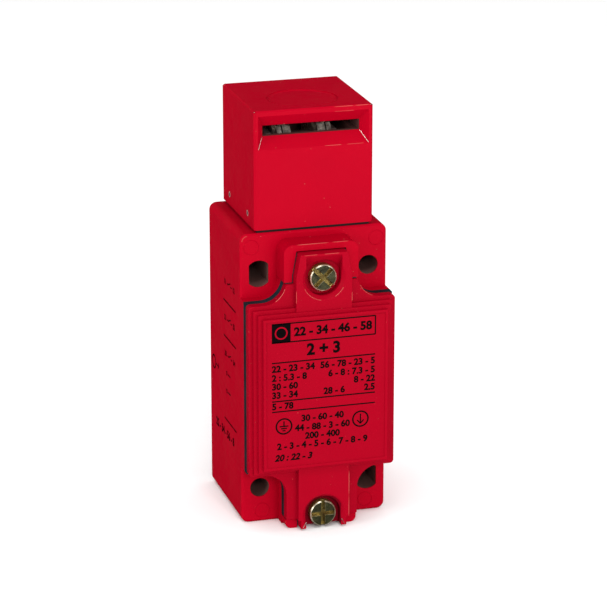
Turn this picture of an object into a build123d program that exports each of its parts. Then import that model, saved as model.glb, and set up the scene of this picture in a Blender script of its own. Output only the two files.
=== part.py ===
from build123d import *
import math
import os

# A wall-mounted safety switch that a guard's metal tongue turns on. X is to the right, Y goes into the
# wall and Z is up. The origin is on the mounting face, in the middle of the four fixing holes.
# Sizes are in millimetres. A depth is measured forwards from the mounting face, so it is minus Y.
# The contacts and the cam are sized first. With the gaps and walls round them, they add up to the
# 40 mm width and the 30 x 60 mm hole spacing that are standard for this class of switch.

# Cam and its hub
travel = 3.0
cam_turn_degrees = 60.0
cam_lead_degrees = 10.0
cam_half_width = 2.5
cam_clearance = 0.06
cam_base_radius = 4.4
hub_radius = 3.4
hub_flat = 2.8
axle_radius = 2.0

# Wheels beside the cam
wheel_radius = 8.8
wheel_beside_cam = 1.15
wheel_width = 3.7
wheel_gap = 0.35
notch_width = 3.2
notch_depth = 3.4
notch_degrees = 30.0

# Carrier of the cam
running_gap = 0.05
fit_gap = 0.02
well_gap = 0.284
plate_gap = 0.65
plate_thickness = 1.9
plate_above_axis = 4.2
plate_chamfer = 2.4
carrier_base_thickness = 2.8

# Plunger, its bush, seal and spring
plunger_radius = 3.0
nose_radius = 2.5
nose_half_width = 1.6
plunger_bore_gap = 1.3
collar_gap = 0.4
collar_thickness = 1.5
stop_gap = 0.5
bush_length = 9.0
bush_above_chamber = 2.2
seal_thickness = 1.5
spring_wire = 0.5
spring_turns = 4
coil_sides = 8
coil_end_share = 0.65
push_gap = 0.1

# Contact carriage and bridges
carriage_margin = 0.2
carriage_guide_gap = 0.15
carriage_head_gap = 1.0
carriage_foot = 1.0
row_count = 3
contact_clearance = 0.1
contact_half = 1.1
contact_height = 0.4
contact_edge = 0.3
bridge_end = 0.5
bridge_half_width = 2.0
bridge_thickness = 0.7
window_height = 2.6
window_gap = 0.1
window_side_gap = 0.15
contact_spring_radius = 1.3
contact_spring_wire = 0.35
contact_spring_turns = 2
return_spring_length = 4.4
return_spring_radius = 2.0
return_spring_wire = 0.4
return_spring_turns = 3

# Fixed contacts and terminals
strip_thickness = 0.7
strip_tip_gap = 1.25
strip_width = 5.0
terminal_screw_radius = 1.3
terminal_head_radius = 2.15
terminal_head_height = 1.9
terminal_edge = 0.3
terminal_side_gap = 0.15
clamp_thickness = 1.0
pocket_depth = 3.0
pocket_gap = 0.1
screw_drive_width = 0.6
screw_drive_depth = 0.7
small_sides = 10

# Contact block
well_side_gap = 1.6
well_side_wall = 0.8
pocket_wall = 0.9
well_behind_carriage = 1.4
well_before_axis = 7.3
well_top_wall = 3.0
well_bottom_wall = 1.6
block_top_wall = 0.5
row_wall = 1.4
lid_thickness = 1.6
lid_shelf = 0.7
lid_gap = 0.1
foot_edge = 0.2
foot_thickness = 5.0
foot_length = 6.0

# Screws inside the body
block_screw_radius = 1.45
block_screw_head_radius = 2.6
block_screw_head_height = 2.2
blind_floor = 1.2
earth_boss_half = 3.6
earth_boss_height = 3.0
earth_boss_gap = 0.2
earth_floor_gap = 0.9
earth_washer_half = 3.2
earth_washer_thickness = 0.9
earth_head_radius = 2.9
earth_head_height = 2.4

# Body casting
block_side_gap = 2.0
block_headroom = 0.8
side_wall = 2.5
back_wall = 3.5
chamber_corner_radius = 3.0
body_corner_radius = 2.0
body_edge_chamfer = 0.5
upper_end = 11.0
lower_end = 9.8

# Seat that the gasket lies on
field_wall = 2.4
seat_height = 3.0
seat_root = 1.2
notch_shift = 0.8

# Fixing holes on the ears
hole_edge = 5.0
hole_above_field = 6.3
hole_radius = 2.65
long_hole_radius = 3.65

# Cable entry for an M20 gland
entry_radius = 9.2
entry_chamfer = 0.9

# Cover screws
cover_screw_radius = 1.95
cover_screw_head_radius = 3.6
cover_screw_head_height = 2.3
cover_screw_chamfer = 0.35
screw_slot_width = 0.95
screw_slot_depth = 1.0
cross_length = 6.4
cross_width = 1.2
cross_depth = 1.5
screw_land = 1.7
screw_end_gap = 0.8
thread_gap = 0.05

# Recesses round the cover screws
recess_gap = 1.25
recess_lip = 1.0
recess_floor_thickness = 1.7
ramp_start = 2.4
ramp_run = 5.1

# Gasket and front cover
gasket_thickness = 2.3
flange_thickness = 2.7
flange_corner_radius = 1.0
cover_height = 6.5
cover_wall = 1.4
cover_gap = 0.3
panel_side_frame = 3.0
panel_end_frame = 2.7
step_count = 3
label_border = 0.8
label_recess = 0.3

# Upper tab of the cover and the wall round it
tab_thickness = 4.7
tab_edge = 1.75
tab_taper = 1.2
tab_taper_length = 6.2
tab_beyond_screw = 6.8
shoulder_above_field = 5.2
boss_wall = 2.2
boss_end_wall = 1.7
boss_overhang = 0.3
boss_end_edge = 1.8
boss_height = 4.0
boss_corner_radius = 2.4

# Lower tab of the cover and the lugs beside it
foot_tab_edge = 0.45
foot_tab_step = 0.7
foot_shoulder_rise = 2.9
foot_beyond_screw = 4.2
foot_end_gap = 0.6
lug_corner_radius = 1.6

# Turret neck, seal and pins of the head
head_seal_thickness = 0.8
head_seal_inset = 0.8
neck_height = 7.2
groove_depth = 3.75
pin_radius = 0.8
pin_above_base = 3.0
pin_gap = 0.1
socket_gap = 0.15
socket_step = 0.45

# Head casting and its tongue slot
head_wall = 3.9
head_corner_chamfer = 0.5
head_edge_chamfer = 0.4
roof_thickness = 2.8
pad_edge = 6.6
pad_forward = 5.0
pad_recess = 0.25
slot_side_wall = 3.0
slot_height = 2.8
slot_engagement = 1.2
slot_headroom = 1.7
slot_back_wall = 4.5
funnel_side = 1.9
funnel_rise = 3.1
funnel_depth = 2.7

# Across the switch, from the carriage out to the side walls
carriage_half_width = plunger_radius + carriage_margin
strip_tip_x = carriage_half_width + carriage_guide_gap + strip_tip_gap
contact_x = strip_tip_x + contact_edge + contact_half
bridge_half_length = contact_x + contact_half + bridge_end
well_half_width = bridge_half_length + well_side_gap
terminal_inner_x = well_half_width + well_side_wall
strip_outer_x = terminal_inner_x + 2 * (terminal_head_radius + terminal_side_gap)
terminal_x = (terminal_inner_x + strip_outer_x) / 2
block_half_width = strip_outer_x + pocket_wall
foot_width = 2 * (block_screw_head_radius + foot_edge)
block_screw_x = block_half_width - foot_width / 2
chamber_half_width = block_half_width + block_side_gap
body_width = 2 * (chamber_half_width + side_wall)
hole_x = body_width / 2 - hole_edge
panel_half_width = body_width / 2 - panel_side_frame

# Across the cover tabs, from the screws out to the notches
recess_radius = cover_screw_head_radius + recess_gap
tab_half_width = recess_radius + recess_lip + tab_edge
tab_tip_half_width = tab_half_width - tab_taper
boss_half_width = tab_half_width + cover_gap + boss_wall
neck_half_width = boss_half_width - boss_overhang
notch_radius = hole_x + notch_shift - neck_half_width
foot_half_width = recess_radius + recess_lip + foot_tab_edge
foot_raised_half_width = foot_half_width + foot_tab_step

# Up the inside, from the cable space to the top of the contact block
contact_gap = travel + contact_clearance
bridge_drop = contact_gap + 2 * contact_height
window_top_drop = bridge_drop - window_gap
tab_height = strip_thickness + 2 * (terminal_head_radius + terminal_edge)
row_pitch = tab_height + row_wall
rows_height = tab_height + block_top_wall + (row_count - 1) * row_pitch
carriage_reach = window_top_drop + window_height + carriage_foot
block_height = rows_height + carriage_reach + return_spring_length + well_bottom_wall
cable_room = earth_boss_gap + 2 * earth_boss_half + earth_floor_gap
chamber_half_height = (block_headroom + block_height + cable_room) / 2
block_top = chamber_half_height - block_headroom
block_bottom = block_top - block_height
well_bottom = block_bottom + well_bottom_wall
top_row = block_top - block_top_wall - tab_height
row_heights = [top_row - row * row_pitch for row in range(row_count)]
carriage_top = block_top - travel - carriage_head_gap
carriage_bottom = row_heights[-1] - carriage_reach
block_screw_z = block_bottom - foot_length / 2
earth_high = block_bottom - earth_boss_gap
earth_low = earth_high - 2 * earth_boss_half
earth_z = (earth_low + earth_high) / 2

# Up the outside, from the lower end to the top of the neck
field_half_height = chamber_half_height + field_wall
hole_z = field_half_height + hole_above_field
body_top = hole_z + upper_end
body_bottom = -hole_z - lower_end
body_height = body_top - body_bottom
body_middle = (body_top + body_bottom) / 2
panel_half_height = field_half_height - panel_end_frame
shoulder_height = field_half_height + shoulder_above_field
boss_top = body_top - boss_end_edge
tab_end = boss_top - boss_end_wall - cover_gap
tab_taper_start = tab_end - tab_taper_length
upper_screw_z = tab_end - tab_beyond_screw
lower_screw_z = body_bottom + foot_beyond_screw
foot_end = body_bottom + foot_end_gap
foot_shoulder = body_bottom + foot_shoulder_rise
neck_top = body_top + neck_height

# The head, from the wheels outwards and from the neck up
cam_radius = cam_base_radius + travel
wheel_inner_x = cam_half_width + wheel_beside_cam
wheel_outer_x = wheel_inner_x + wheel_width
plate_inner_x = wheel_outer_x + plate_gap
plate_outer_x = plate_inner_x + plate_thickness
wheel_reach = math.hypot(wheel_outer_x, wheel_radius)
plate_half_depth = math.sqrt(wheel_reach ** 2 - plate_outer_x ** 2)
well_half = wheel_reach + well_gap
socket_half = well_half + socket_step
neck_radius = socket_half - socket_gap
body_depth = 2 * (socket_half + head_wall)
axis_y = -body_depth / 2
pin_offset = neck_radius - groove_depth + pin_radius + pin_gap
slot_width = body_depth - 2 * slot_side_wall
funnel_width = slot_width + 2 * funnel_side
funnel_height = slot_height + 2 * funnel_rise
pad_radius = body_depth / 2 - pad_edge
head_base = body_top + head_seal_thickness
pin_z = head_base + pin_above_base
carrier_base = neck_top + running_gap
carrier_floor = carrier_base + carrier_base_thickness
cam_axis_z = carrier_floor + wheel_radius + wheel_gap
slot_z = cam_axis_z + wheel_radius - slot_engagement
well_top = slot_z + slot_height / 2 + slot_headroom
head_top = well_top + roof_thickness

# Up the plunger, from the carriage to the cam
plunger_bottom = carriage_top + push_gap
rest_reach = cam_radius + nose_radius + cam_clearance
nose_centre_z = cam_axis_z - rest_reach
plunger_bore_radius = plunger_radius + plunger_bore_gap
collar_radius = plunger_bore_radius - collar_gap
collar_top = carrier_base - stop_gap - travel
collar_bottom = collar_top - collar_thickness
bush_low = chamber_half_height + bush_above_chamber
bush_high = bush_low + bush_length
seal_high = bush_high + seal_thickness
spring_radius = (plunger_radius + plunger_bore_radius) / 2

# Forwards from the mounting face
axis_depth = -axis_y
well_back = axis_depth - carriage_half_width - well_behind_carriage
block_front = axis_depth + well_before_axis + lid_thickness
pocket_floor = block_front - pocket_depth
strip_back = axis_depth - strip_width / 2
terminal_rise = strip_thickness + terminal_edge + terminal_head_radius
foot_front = back_wall + foot_thickness
earth_boss_front = back_wall + earth_boss_height
seat_front = body_depth + seat_height
cover_back = seat_front + gasket_thickness
flange_front = cover_back + flange_thickness
panel_front = cover_back + cover_height
tab_front = cover_back + tab_thickness
recess_floor = cover_back + recess_floor_thickness
boss_front = seat_front + boss_height
screw_hole_floor = axis_depth + entry_radius + screw_land
corner_reach = 1.0
overlap = 0.5


def pad(sketch, low, high):
    """Extrude a front-view sketch between two depths."""
    return extrude(Plane.XZ.offset(low) * sketch, high - low)


def rod_z(radius, low, high, x=0.0, y=axis_y):
    """Round bar that stands up between two heights."""
    return Pos(x, y, (low + high) / 2) * Cylinder(radius, high - low)


def rod_x(radius, low, high, y, z):
    """Round bar that lies across, between two places on X."""
    return Pos((low + high) / 2, y, z) * Rot(Y=90) * Cylinder(radius, high - low)


def block_z(half, low, high):
    """Square block on the plunger's axis, between two heights."""
    return Pos(0, axis_y, (low + high) / 2) * Box(2 * half, 2 * half, high - low)


def bar(x_low, x_high, depth_low, depth_high, z_low, z_high):
    """Rectangular bar between two places on each axis."""
    centre = Pos((x_low + x_high) / 2, -(depth_low + depth_high) / 2, (z_low + z_high) / 2)
    return centre * Box(x_high - x_low, depth_high - depth_low, z_high - z_low)


def span(x_low, x_high, z_low, z_high):
    """Front-view rectangle between two places on each axis."""
    return Pos((x_low + x_high) / 2, (z_low + z_high) / 2) * Rectangle(x_high - x_low, z_high - z_low)


def small_disc(radius):
    """Many-sided disc for the shanks of screws, the small screw heads and hidden screw holes."""
    return RegularPolygon(radius, small_sides)


def group(shapes):
    """Separate solids kept together as one piece of the list."""
    return Compound([solid for shape in shapes for solid in shape.solids()])


def mirrored(shape):
    """The shape and its mirror image across the middle of the switch."""
    return [shape, mirror(shape, about=Plane.YZ)]


def corners_at(sketch, half_width, height):
    """Sketch corners near plus and minus a half width, on one height."""
    return [
        corner
        for corner in sketch.vertices()
        if abs(abs(corner.X) - half_width) < corner_reach and abs(corner.Y - height) < corner_reach
    ]


def seal_outline(upper_end_z, lower_end_z):
    """Front outline shared by the seat, the gasket and the cover flange."""
    outline = span(-body_width / 2, body_width / 2, -field_half_height, field_half_height)
    outline += span(-neck_half_width, neck_half_width, -body_height, body_height)
    for height in (field_half_height, -field_half_height):
        outline = fillet(corners_at(outline, neck_half_width, height), notch_radius)
    return outline & span(-body_width, body_width, lower_end_z, upper_end_z)


def chamber_outline():
    """Front outline of the hollow inside the body."""
    return RectangleRounded(2 * chamber_half_width, 2 * chamber_half_height, chamber_corner_radius)


def tab_outline(gap):
    """Upper cover tab from the field to its tip, grown by a gap."""
    side = tab_half_width + gap
    tip = tab_tip_half_width + gap
    end = tab_end + gap
    edge = Polyline(
        (-side, 0),
        (-side, tab_taper_start),
        (-tip, end),
        (tip, end),
        (side, tab_taper_start),
        (side, 0),
        close=True,
    )
    return make_face(edge)


def foot_outline():
    """Lower cover tab from the field to just above the end of the body."""
    return span(-foot_half_width, foot_half_width, foot_end, 0)


def boss_outline():
    """Wall that stands round the upper cover tab."""
    outline = span(-boss_half_width, boss_half_width, shoulder_height + cover_gap, boss_top)
    outline = fillet(corners_at(outline, boss_half_width, boss_top), boss_corner_radius)
    return outline - tab_outline(cover_gap)


def lug_outline():
    """Right-hand one of the two lugs beside the cover's foot."""
    inner = foot_half_width + cover_gap
    outline = span(inner, neck_half_width, body_bottom, foot_shoulder - cover_gap)
    outer = corners_at(outline, neck_half_width, body_bottom)
    return fillet(outer, lug_corner_radius)


def fixing_holes():
    """Two round holes and, on the other diagonal, two that are longer up and down."""
    long_hole = Circle(long_hole_radius) & Rectangle(2 * hole_radius, 4 * long_hole_radius)
    holes = Pos(hole_x, hole_z) * Circle(hole_radius) + Pos(-hole_x, -hole_z) * Circle(hole_radius)
    return holes + Pos(-hole_x, hole_z) * long_hole + Pos(hole_x, -hole_z) * long_hole


def cable_entry():
    """Bore in the underside, up into the hollow, with a chamfered mouth."""
    mouth = Cone(entry_radius + entry_chamfer, entry_radius, entry_chamfer)
    bore = rod_z(entry_radius, body_bottom - 1, -chamber_half_height + 1)
    return bore + Pos(0, axis_y, body_bottom + entry_chamfer / 2) * mouth


def pin_grooves():
    """Four straight grooves across the neck, so that the pins hold the head in any quarter turn."""
    low, high = pin_z - pin_radius - pin_gap, pin_z + pin_radius + pin_gap
    reach = neck_radius + 1
    groove = bar(-reach, reach, neck_radius - groove_depth, reach, low, high)
    return [Pos(0, axis_y, 0) * Rot(Z=turn) * groove for turn in (0, 90, 180, 270)]


def screw_holes():
    """Blind holes for the cover screws, the screws of the contact block and the earth screw."""
    cover_hole = small_disc(cover_screw_radius + thread_gap)
    inner_hole = small_disc(block_screw_radius + thread_gap)
    holes = []
    for z in (upper_screw_z, lower_screw_z):
        holes.append(pad(Pos(0, z) * cover_hole, screw_hole_floor, seat_front + 1))
    for x in (-block_screw_x, block_screw_x):
        holes.append(pad(Pos(x, block_screw_z) * inner_hole, blind_floor, back_wall + 1))
    holes.append(pad(Pos(0, earth_z) * inner_hole, blind_floor, earth_boss_front + 1))
    return holes


def body_casting():
    """Hollow casting with solid ears, the seat, the cable entry and the turret neck."""
    front = Pos(0, body_middle) * RectangleRounded(body_width, body_height, body_corner_radius)
    casting = pad(front, 0, body_depth)
    casting = chamfer(casting.faces().sort_by(Axis.Y)[0].edges(), body_edge_chamfer)
    seat = seal_outline(boss_top - boss_corner_radius, body_bottom)
    casting += pad(seat, body_depth - seat_root, seat_front)
    casting += pad(boss_outline(), body_depth - seat_root, boss_front)
    for lug in mirrored(pad(lug_outline(), body_depth - seat_root, boss_front)):
        casting += lug
    casting += rod_z(neck_radius, body_top - 1, neck_top)

    casting -= pad(chamber_outline(), back_wall, seat_front + 1)
    earth_boss = span(-earth_boss_half, earth_boss_half, earth_low, earth_high)
    casting += pad(earth_boss, back_wall - overlap, earth_boss_front)
    casting -= pad(fixing_holes(), -1, seat_front)
    casting -= cable_entry()
    casting -= rod_z(plunger_bore_radius, chamber_half_height - 1, neck_top + 1)
    for cut in pin_grooves() + screw_holes():
        casting -= cut
    return casting


def cover_gasket():
    """Flat seal in the shape of the seat, with the chamber and the screws cut out."""
    outline = seal_outline(shoulder_height, foot_shoulder) + tab_outline(0) + foot_outline()
    outline -= chamber_outline()
    for z in (upper_screw_z, lower_screw_z):
        outline -= Pos(0, z) * small_disc(cover_screw_radius + cover_gap)
    return pad(outline, seat_front, cover_back)


def screw_recess(z, end):
    """Flared recess round a cover screw, open towards the end of its tab."""
    top = tab_front + 1
    recess = pad(Pos(0, z) * Circle(recess_radius), recess_floor, top)
    lip = Cone(recess_radius, recess_radius + recess_lip, recess_lip)
    recess += Pos(0, -(tab_front - recess_lip / 2), z) * Rot(X=90) * lip
    if end < z:
        return recess + pad(span(-recess_radius, recess_radius, end, z), recess_floor, top)
    side = Polyline(
        (-recess_floor, z),
        (-recess_floor, z + ramp_start),
        (-top, z + ramp_start + ramp_run),
        (-top, z),
        close=True,
    )
    ramp = extrude(Plane.YZ * make_face(side), recess_radius, both=True)
    return recess + ramp


def cover_flange():
    """Flat rim of the cover, with its outer corners rounded."""
    flange = seal_outline(shoulder_height, foot_shoulder)
    for half_width, height in (
        (body_width / 2, field_half_height),
        (body_width / 2, -field_half_height),
        (neck_half_width, shoulder_height),
    ):
        flange = fillet(corners_at(flange, half_width, height), flange_corner_radius)
    return pad(flange, cover_back, flange_front)


def front_cover():
    """Shelled cover with a stepped frame, a sunk label panel and a tab at each end."""
    cover = cover_flange()
    for step in range(1, step_count + 1):
        share = step / step_count
        half_width = body_width / 2 - panel_side_frame * share
        half_height = field_half_height - panel_end_frame * share
        top = flange_front + (panel_front - flange_front) * share
        cover += pad(Rectangle(2 * half_width, 2 * half_height), cover_back, top)
    cover += pad(tab_outline(0), cover_back, tab_front)
    raised = span(-foot_raised_half_width, foot_raised_half_width, foot_shoulder, 0)
    cover += pad(foot_outline() + raised, cover_back, tab_front)
    label = Rectangle(2 * (panel_half_width - label_border), 2 * (panel_half_height - label_border))
    cover -= pad(label, panel_front - label_recess, panel_front + 1)

    hollow_width = 2 * (panel_half_width - cover_wall)
    hollow_height = 2 * (panel_half_height - cover_wall)
    hollow = RectangleRounded(hollow_width, hollow_height, chamber_corner_radius)
    cover -= pad(hollow, cover_back - 1, panel_front - cover_wall)
    for z, end in ((upper_screw_z, tab_end), (lower_screw_z, body_bottom - 1)):
        cover -= screw_recess(z, end)
        hole = Pos(0, z) * small_disc(cover_screw_radius + cover_gap)
        cover -= pad(hole, cover_back - 1, tab_front)
    return cover


def slotted_screw(x, z, seat, tip, radius, head_radius, head_height):
    """Small cheese-head screw that points to the back, its head standing on a seat depth."""
    top = seat + head_height
    screw = pad(small_disc(radius), tip, seat) + pad(small_disc(head_radius), seat, top)
    screw -= pad(Rectangle(screw_drive_width, 3 * head_radius), top - screw_drive_depth, top + 1)
    return Pos(x, 0, z) * screw


def cover_screw(z, turn):
    """Captive screw with a slot across its head and a cross recess in the middle."""
    top = recess_floor + cover_screw_head_height
    tip = screw_hole_floor + screw_end_gap
    head = pad(Circle(cover_screw_head_radius), recess_floor, top)
    head = chamfer(head.faces().sort_by(Axis.Y)[0].edges(), cover_screw_chamfer)
    screw = head + pad(small_disc(cover_screw_radius), tip, recess_floor)
    slot = Rectangle(screw_slot_width, 3 * cover_screw_head_radius)
    screw -= pad(Rot(Z=turn) * slot, top - screw_slot_depth, top + 1)
    cross = Rectangle(cross_length, cross_width) + Rectangle(cross_width, cross_length)
    screw -= pad(Rot(Z=turn) * cross, top - cross_depth, top + 1)
    return Pos(0, 0, z) * screw


def tongue_funnel():
    """Slot for the tongue, with a mouth that narrows towards it."""
    slot = pad(Pos(0, slot_z) * Rectangle(slot_width, slot_height), slot_back_wall, body_depth)
    front, throat = -body_depth, funnel_depth - body_depth
    across = Polyline(
        (-funnel_width / 2, front),
        (-slot_width / 2, throat),
        (slot_width / 2, throat),
        (funnel_width / 2, front),
        close=True,
    )
    upright = Polyline(
        (front, -funnel_height / 2),
        (throat, -slot_height / 2),
        (throat, slot_height / 2),
        (front, funnel_height / 2),
        close=True,
    )
    mouth = extrude(Plane.XY * make_face(across), funnel_height, both=True)
    mouth &= extrude(Plane.YZ * make_face(upright), funnel_width, both=True)
    return [slot, Pos(0, 0, slot_z) * mouth]


def head_casting():
    """Square head with the tongue funnel in front and a stepped well from below."""
    head = block_z(body_depth / 2, head_base, head_top)
    head = chamfer(head.edges().filter_by(Axis.Z), head_corner_chamfer)
    head = chamfer(head.faces().sort_by(Axis.Z)[-1].edges(), head_edge_chamfer)
    head -= rod_z(pad_radius, head_top - pad_recess, head_top + 1, y=axis_y - pad_forward)
    head -= block_z(socket_half, head_base - 1, carrier_floor + running_gap)
    head -= block_z(well_half, carrier_floor - 1, well_top)
    for cut in tongue_funnel():
        head -= cut
    for offset in (-pin_offset, pin_offset):
        head -= rod_x(pin_radius, -body_depth, body_depth, axis_y + offset, pin_z)
    return head


def head_gasket():
    """Square seal ring between the head and the body, round the neck."""
    seal = block_z(body_depth / 2 - head_seal_inset, body_top, head_base)
    return seal - block_z(socket_half, body_top, head_base)


def head_pins():
    """Two cross pins that pass the groove of the neck and hold the head."""
    half = body_depth / 2
    places = (axis_y - pin_offset, axis_y + pin_offset)
    return group([rod_x(pin_radius, -half, half, y, pin_z) for y in places])


def cam_carrier():
    """Square base with two side plates that hold the axle."""
    carrier = block_z(socket_half - socket_gap, carrier_base, carrier_floor)
    depth_low, depth_high = axis_depth - plate_half_depth, axis_depth + plate_half_depth
    top = cam_axis_z + plate_above_axis
    plate = bar(plate_inner_x, plate_outer_x, depth_low, depth_high, carrier_floor - 1, top)
    plate = chamfer(plate.edges().filter_by(Axis.X).group_by(Axis.Z)[-1], plate_chamfer)
    for side in mirrored(plate):
        carrier += side
    carrier -= rod_z(plunger_radius + cover_gap, carrier_base, carrier_floor)
    return carrier - rod_x(axle_radius + fit_gap / 2, -body_depth, body_depth, axis_y, cam_axis_z)


def cam_axle():
    """Plain axle, flush with the carrier's plates."""
    return rod_x(axle_radius, -plate_outer_x, plate_outer_x, axis_y, cam_axis_z)


def hub_section(gap):
    """Round hub with two flats that turn the wheels."""
    return Circle(hub_radius + gap) & Rectangle(2 * (hub_flat + gap), 4 * hub_radius)


def cam_side(angle):
    """Point of the lift profile that presses the plunger's round nose after a turn of this angle."""
    rise = travel / math.radians(cam_turn_degrees)
    reach = rest_reach - rise * angle
    normal = math.hypot(reach, rise)
    back = nose_radius + cam_clearance
    radial = reach - back * reach / normal
    along = -back * rise / normal
    across = radial * math.sin(angle) + along * math.cos(angle)
    height = -radial * math.cos(angle) + along * math.sin(angle)
    return across, height


def lift_cam():
    """Lobe whose radius falls evenly with the turn, on the hub that carries the wheels."""
    first = math.radians(-cam_lead_degrees)
    last = math.radians(cam_turn_degrees + cam_lead_degrees)
    points = [cam_side(first + (last - first) * share / 4) for share in range(5)]
    edges = [ThreePointArc(*points[:3]), ThreePointArc(*points[2:])]
    lobe = make_face([*edges, Line(points[-1], (0, 0)), Line((0, 0), points[0])])
    cam = extrude(Plane.YZ * lobe, cam_half_width, both=True)
    cam += extrude(Plane.YZ * hub_section(0), wheel_outer_x, both=True)
    cam = Pos(0, axis_y, cam_axis_z) * cam
    return cam - rod_x(axle_radius + running_gap, -body_width, body_width, axis_y, cam_axis_z)


def cam_wheel():
    """Right-hand notched wheel, turned by the flats of the hub."""
    wheel = extrude(Plane.YZ.offset(wheel_inner_x) * Circle(wheel_radius), wheel_width)
    notch = Pos(0, wheel_radius - notch_depth / 2 + 1) * Rectangle(notch_width, notch_depth + 2)
    cut = Rot(Z=notch_degrees) * notch + hub_section(fit_gap)
    wheel -= extrude(Plane.YZ * cut, body_width)
    return Pos(0, axis_y, cam_axis_z) * wheel


def plunger():
    """Rod with a round-nosed blade under the cam and a stop collar, down to the contact carriage."""
    rod = rod_z(plunger_radius, plunger_bottom, nose_centre_z)
    rod += rod_x(nose_radius, -nose_half_width, nose_half_width, axis_y, nose_centre_z)
    return rod + rod_z(collar_radius, collar_bottom, collar_top)


def plunger_bush():
    """Bearing bush pressed into the neck's bore."""
    bush = rod_z(plunger_bore_radius - fit_gap, bush_low, bush_high)
    return bush - rod_z(plunger_radius + running_gap, bush_low, bush_high)


def plunger_seal():
    """Lip seal on top of the bush."""
    seal = rod_z(plunger_bore_radius - fit_gap, bush_high, seal_high)
    return seal - rod_z(plunger_radius + running_gap, bush_high, seal_high)


def coil_spring(radius, wire, low, high, turns):
    """Square-wire compression spring on the plunger's axis, each turn drawn with straight sides."""
    steps = turns * coil_sides
    end_room = coil_end_share * wire
    first = low + end_room
    rise = (high - low - 2 * end_room) / steps
    points = []
    for step in range(steps + 1):
        angle = 2 * math.pi * step / coil_sides
        points.append((radius * math.cos(angle), radius * math.sin(angle), first + rise * step))
    path = Polyline(*points)
    profile = Plane(origin=path @ 0, x_dir=(1, 0, 0), z_dir=path % 0) * Rectangle(wire, wire)
    return Pos(0, axis_y, 0) * sweep(profile, path=path, transition=Transition.RIGHT)


def contact_block():
    """Moulded block with a well for the carriage, slots for the strips and terminal pockets."""
    block = bar(-block_half_width, block_half_width, back_wall, block_front, block_bottom, block_top)
    foot_inner_x = block_half_width - foot_width
    foot_low = block_bottom - foot_length
    foot = bar(foot_inner_x, block_half_width, back_wall, foot_front, foot_low, block_bottom + 1)
    hole = Pos(block_screw_x, block_screw_z) * small_disc(block_screw_radius + cover_gap)
    for side in mirrored(foot - pad(hole, 0, foot_front + 1)):
        block += side
    well_top_z = block_top - well_top_wall
    block -= bar(-well_half_width, well_half_width, well_back, block_front + 1, well_bottom, well_top_z)
    lid_back = block_front - lid_thickness
    lid_low, lid_high = well_bottom - lid_shelf, well_top_z + lid_shelf
    block -= bar(-well_half_width, well_half_width, lid_back, block_front + 1, lid_low, lid_high)
    guide = carriage_half_width + carriage_guide_gap
    block -= bar(-guide, guide, axis_depth - guide, axis_depth + guide, well_top_z - 1, block_top + 1)
    for height in row_heights:
        block -= group(mirrored(terminal_pocket(height)))
    return block


def terminal_pocket(height):
    """Space for a strip, its screw and its clamp on the right-hand side."""
    low, front = height - pocket_gap, block_front + 1
    strip_top = height + strip_thickness + pocket_gap
    outer = strip_outer_x + pocket_gap
    slot = bar(well_half_width - 1, outer, strip_back - pocket_gap, front, low, strip_top)
    pocket_high = height + tab_height + 2 * pocket_gap
    pocket = bar(terminal_inner_x - pocket_gap, block_half_width + 1, pocket_floor, front, low, pocket_high)
    reach = terminal_screw_radius + cover_gap
    hole = Pos(terminal_x, height + terminal_rise) * Rectangle(2 * reach, 2 * reach)
    return slot + pocket + pad(hole, strip_back, block_front)


def contact_lid():
    """Plate that closes the well of the contact block."""
    half = well_half_width - lid_gap
    low = well_bottom - lid_shelf + lid_gap
    high = block_top - well_top_wall + lid_shelf - lid_gap
    return bar(-half, half, block_front - lid_thickness, block_front, low, high)


def contact_carriage():
    """Square slider with a window for each contact bridge."""
    half = carriage_half_width
    carriage = bar(-half, half, axis_depth - half, axis_depth + half, carriage_bottom, carriage_top)
    side = bridge_half_width + window_side_gap
    for height in row_heights:
        high = height - window_top_drop
        window = bar(-half - 1, half + 1, axis_depth - side, axis_depth + side, high - window_height, high)
        carriage -= window
    return carriage


def contact_bridge(height):
    """Bar with a raised contact near each end that joins two strips when it is lifted."""
    top = height - bridge_drop
    depth_low, depth_high = axis_depth - bridge_half_width, axis_depth + bridge_half_width
    bridge = bar(-bridge_half_length, bridge_half_length, depth_low, depth_high, top - bridge_thickness, top)
    for x in (-contact_x, contact_x):
        bridge += contact_face(x, top, top + contact_height)
    return bridge


def contact_face(x, low, high):
    """Square silver contact between two heights."""
    depth_low, depth_high = axis_depth - contact_half, axis_depth + contact_half
    return bar(x - contact_half, x + contact_half, depth_low, depth_high, low, high)


def contact_spring(height):
    """Small spring that presses a bridge to the top of its window."""
    high = height - bridge_drop - bridge_thickness
    low = height - window_top_drop - window_height
    return coil_spring(contact_spring_radius, contact_spring_wire, low, high, contact_spring_turns)


def fixed_contact(height):
    """Right-hand bent strip from its contact out to a forked terminal tab."""
    strip_top = height + strip_thickness
    tab_face = pocket_floor + strip_thickness
    tip_end = strip_back + strip_width
    strip = bar(strip_tip_x, strip_outer_x, strip_back, tip_end, height, strip_top)
    strip += bar(terminal_inner_x, strip_outer_x, strip_back, tab_face, height, strip_top)
    strip += bar(terminal_inner_x, strip_outer_x, pocket_floor, tab_face, height, height + tab_height)
    fork = terminal_screw_radius + thread_gap
    fork_low = height + terminal_rise - fork
    strip -= bar(terminal_x - fork, terminal_x + fork, 0, block_front, fork_low, height + tab_height + 1)
    return strip + contact_face(contact_x, height - contact_height, height)


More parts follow.
